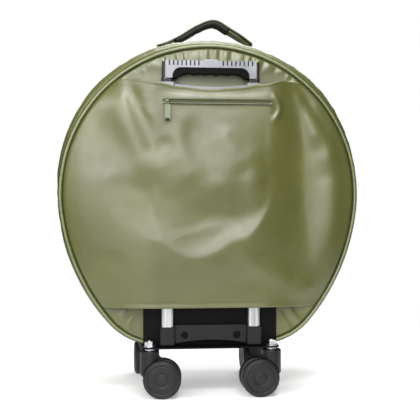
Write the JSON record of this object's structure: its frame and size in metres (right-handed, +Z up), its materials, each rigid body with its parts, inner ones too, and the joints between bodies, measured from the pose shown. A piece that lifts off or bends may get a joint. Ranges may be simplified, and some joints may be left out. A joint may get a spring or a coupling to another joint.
{
  "type": "round softside bag on caster trolley",
  "caption": "Round softside bag standing on a caster trolley, whose telescopic handle runs up through a sleeve sewn on the bag's rear panel.",
  "frame": {"origin": "on the floor, in the middle of the whole object's box", "axes": "+Z up, -Y towards the trolley handle and the rear sleeve, +Y towards the lid, +X to the right when facing the handle side"},
  "size_m": [0.612, 0.3163, 0.7735],
  "materials": {
    "coated_fabric": "satin coated cloth",
    "piping": "satin coated piping",
    "lining": "matt woven lining",
    "zip_tape": "woven tape",
    "zip_coil": "satin coil",
    "webbing": "woven webbing",
    "slider_metal": "satin paint",
    "black_steel": "satin powder coat",
    "black_plastic": "moulded texture",
    "tube_aluminium": "anodised",
    "silver_plastic": "metallic paint",
    "grip_rubber": "soft touch",
    "zinc_steel": "bright zinc plate",
    "wheel": "matt tread"
  },
  "bodies": {
    "cart": {"base_plate": "black_steel", "back_plate": "black_steel", "outer_tubes": "tube_aluminium", "lower_bracket": "black_plastic", "upper_bracket": "silver_plastic", "bracket_screws": "black_steel", "caster_stems": "zinc_steel", "caster_nuts": "zinc_steel", "caster_washers": "zinc_steel"},
    "bag": {"gusset": "coated_fabric", "back_panel": "coated_fabric", "rear_piping": "piping", "bag_lining": "lining", "main_zip_gusset_side": "zip_tape", "hinge_tape": "zip_tape", "sleeve": "coated_fabric", "pocket_lining": "lining", "pocket_zip_tape": "zip_tape", "pocket_zip_coil": "zip_coil", "handle_anchors": "coated_fabric"},
    "lid": {"lid_panel": "coated_fabric", "front_piping": "piping", "lid_lining": "lining", "main_zip_lid_side": "zip_tape"},
    "slider_left": {"main_slider_left": "slider_metal"},
    "slider_right": {"main_slider_right": "slider_metal"},
    "pull_left": {"main_pull_left": "slider_metal"},
    "pull_right": {"main_pull_right": "slider_metal"},
    "carry_handle": {"carry_handle_strap": "coated_fabric", "carry_handle_grip": "webbing"},
    "pocket_slider": {"pocket_slider": "slider_metal"},
    "pocket_pull": {"pocket_pull": "zip_tape"},
    "handle_middle": {"middle_tubes": "tube_aluminium", "middle_collars": "black_plastic"},
    "handle_grip": {"inner_tubes": "tube_aluminium", "lock_housings": "black_plastic", "grip_front_shell": "silver_plastic", "grip_rear_shell": "silver_plastic", "grip_rubber": "grip_rubber", "grip_end_caps": "black_plastic"},
    "button": {"push_button": "silver_plastic", "push_rods": "tube_aluminium"},
    "pin_left": {"lock_pin_left": "zinc_steel"},
    "pin_right": {"lock_pin_right": "zinc_steel"},
    "rear_left_caster": {"rear_left_housing": "black_plastic", "rear_left_axle": "zinc_steel"},
    "rear_left_wheel_outer": {"rear_left_wheel_outer": "wheel"},
    "rear_left_wheel_inner": {"rear_left_wheel_inner": "wheel"},
    "rear_right_caster": {"rear_right_housing": "black_plastic", "rear_right_axle": "zinc_steel"},
    "rear_right_wheel_outer": {"rear_right_wheel_outer": "wheel"},
    "rear_right_wheel_inner": {"rear_right_wheel_inner": "wheel"},
    "front_left_caster": {"front_left_housing": "black_plastic", "front_left_axle": "zinc_steel"},
    "front_left_wheel_outer": {"front_left_wheel_outer": "wheel"},
    "front_left_wheel_inner": {"front_left_wheel_inner": "wheel"},
    "front_right_caster": {"front_right_housing": "black_plastic", "front_right_axle": "zinc_steel"},
    "front_right_wheel_outer": {"front_right_wheel_outer": "wheel"},
    "front_right_wheel_inner": {"front_right_wheel_inner": "wheel"}
  },
  "joints": [
    {"name": "bag_lift", "type": "slide", "parent": "cart", "child": "bag", "axis": [0, 0, 1], "range_m": [0, 0.56]},
    {"name": "lid_hinge", "type": "hinge", "parent": "bag", "child": "lid", "pos_m": [0, 0.13341, 0.1023], "axis": [-1, 0, 0], "range_deg": [0, 88]},
    {"name": "slider_left_run", "type": "hinge", "parent": "bag", "child": "slider_left", "pos_m": [0, 0.13341, 0.4003], "axis": [0, -1, 0], "range_deg": [0, 84]},
    {"name": "slider_right_run", "type": "hinge", "parent": "bag", "child": "slider_right", "pos_m": [0, 0.13341, 0.4003], "axis": [0, 1, 0], "range_deg": [0, 84]},
    {"name": "pull_left_flip", "type": "hinge", "parent": "slider_left", "child": "pull_left", "pos_m": [-0.05321, 0.13341, 0.70205], "axis": [0, 1, 0], "range_deg": [0, 170]},
    {"name": "pull_right_flip", "type": "hinge", "parent": "slider_right", "child": "pull_right", "pos_m": [0.05321, 0.13341, 0.70205], "axis": [0, -1, 0], "range_deg": [0, 170]},
    {"name": "carry_handle_swing", "type": "hinge", "parent": "bag", "child": "carry_handle", "pos_m": [0, 0.01341, 0.70539], "axis": [1, 0, 0], "range_deg": [-22, 22], "stiffness_Nm_per_rad": 0.15},
    {"name": "pocket_slider_run", "type": "slide", "parent": "bag", "child": "pocket_slider", "axis": [1, 0, 0], "range_m": [0, 0.199]},
    {"name": "pocket_pull_swing", "type": "hinge", "parent": "pocket_slider", "child": "pocket_pull", "pos_m": [-0.087, -0.14554, 0.58], "axis": [-1, 0, 0], "range_deg": [0, 120]},
    {"name": "handle_middle_slide", "type": "slide", "parent": "cart", "child": "handle_middle", "axis": [0, 0, 1], "range_m": [0, 0.2]},
    {"name": "handle_inner_slide", "type": "slide", "parent": "handle_middle", "child": "handle_grip", "axis": [0, 0, 1], "range_m": [0, 0.2]},
    {"name": "button_press", "type": "slide", "parent": "handle_grip", "child": "button", "axis": [0, 0, -1], "range_m": [0, 0.004], "stiffness_N_per_m": 800},
    {"name": "pin_left_draw", "type": "slide", "parent": "handle_grip", "child": "pin_left", "axis": [1, 0, 0], "range_m": [0, 0.002]},
    {"name": "pin_right_draw", "type": "slide", "parent": "handle_grip", "child": "pin_right", "axis": [-1, 0, 0], "range_m": [0, 0.002]},
    {"name": "rear_left_swivel", "type": "hinge", "parent": "cart", "child": "rear_left_caster", "pos_m": [-0.121, -0.12659, 0.08], "axis": [0, 0, 1], "continuous": true},
    {"name": "rear_left_wheel_outer_spin", "type": "hinge", "parent": "rear_left_caster", "child": "rear_left_wheel_outer", "pos_m": [-0.09608, -0.12855, 0.0375], "axis": [0.0785, 0.9969, 0], "continuous": true},
    {"name": "rear_left_wheel_inner_spin", "type": "hinge", "parent": "rear_left_caster", "child": "rear_left_wheel_inner", "pos_m": [-0.09608, -0.12855, 0.0375], "axis": [0.0785, 0.9969, 0], "continuous": true},
    {"name": "rear_right_swivel", "type": "hinge", "parent": "cart", "child": "rear_right_caster", "pos_m": [0.121, -0.12659, 0.08], "axis": [0, 0, 1], "continuous": true},
    {"name": "rear_right_wheel_outer_spin", "type": "hinge", "parent": "rear_right_caster", "child": "rear_right_wheel_outer", "pos_m": [0.09602, -0.12768, 0.0375], "axis": [0.0436, -0.999, 0], "continuous": true},
    {"name": "rear_right_wheel_inner_spin", "type": "hinge", "parent": "rear_right_caster", "child": "rear_right_wheel_inner", "pos_m": [0.09602, -0.12768, 0.0375], "axis": [0.0436, -0.999, 0], "continuous": true},
    {"name": "front_left_swivel", "type": "hinge", "parent": "cart", "child": "front_left_caster", "pos_m": [-0.121, 0.09341, 0.08], "axis": [0, 0, 1], "continuous": true},
    {"name": "front_left_wheel_outer_spin", "type": "hinge", "parent": "front_left_caster", "child": "front_left_wheel_outer", "pos_m": [-0.12231, 0.11838, 0.0375], "axis": [-0.9986, -0.0523, 0], "continuous": true},
    {"name": "front_left_wheel_inner_spin", "type": "hinge", "parent": "front_left_caster", "child": "front_left_wheel_inner", "pos_m": [-0.12231, 0.11838, 0.0375], "axis": [-0.9986, -0.0523, 0], "continuous": true},
    {"name": "front_right_swivel", "type": "hinge", "parent": "cart", "child": "front_right_caster", "pos_m": [0.121, 0.09341, 0.08], "axis": [0, 0, 1], "continuous": true},
    {"name": "front_right_wheel_outer_spin", "type": "hinge", "parent": "front_right_caster", "child": "front_right_wheel_outer", "pos_m": [0.11969, 0.11838, 0.0375], "axis": [-0.9986, -0.0523, 0], "continuous": true},
    {"name": "front_right_wheel_inner_spin", "type": "hinge", "parent": "front_right_caster", "child": "front_right_wheel_inner", "pos_m": [0.11969, 0.11838, 0.0375], "axis": [-0.9986, -0.0523, 0], "continuous": true}
  ],
  "couplings": [
    {"joint": "pin_left_draw", "follows": "button_press", "ratio": 0.5},
    {"joint": "pin_right_draw", "follows": "button_press", "ratio": 0.5}
  ]
}
